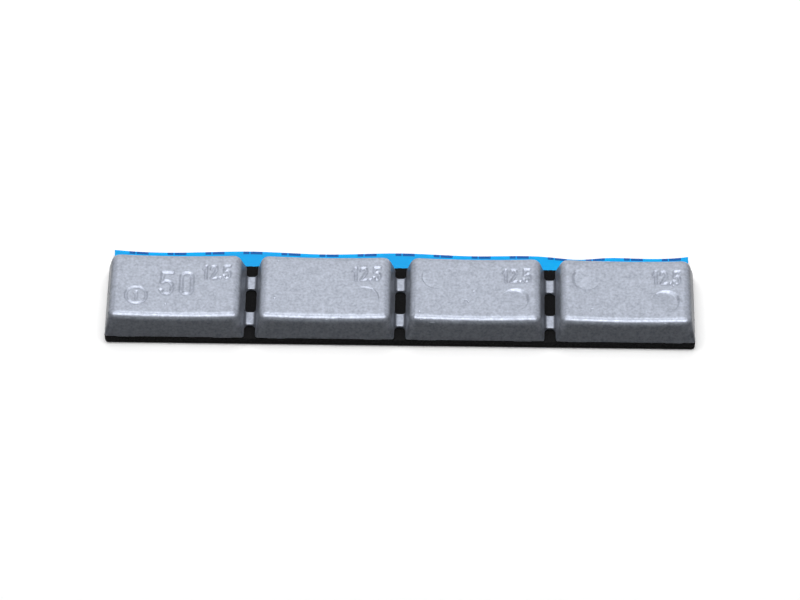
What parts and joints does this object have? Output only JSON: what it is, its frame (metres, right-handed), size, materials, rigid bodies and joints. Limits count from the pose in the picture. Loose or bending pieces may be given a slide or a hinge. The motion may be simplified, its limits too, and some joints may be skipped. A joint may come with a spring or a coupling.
{
  "type": "wheel balance weight",
  "caption": "Stick-on wheel balance weight: a flexible strip of painted zinc segments joined by thin links, on black foam tape with a blue peel-off liner.",
  "frame": {"origin": "middle of the tape's footprint, on the underside of the liner", "axes": "+X along the strip, +Y towards the free edge of the liner, +Z away from the rim"},
  "size_m": [0.107, 0.0204, 0.007],
  "materials": {
    "zinc_paint": "satin",
    "foam": "matte",
    "liner_film": "gloss"
  },
  "bodies": {
    "root": {"zinc_weight": "zinc_paint", "foam_tape": "foam", "release_liner": "liner_film"}
  },
  "joints": []
}
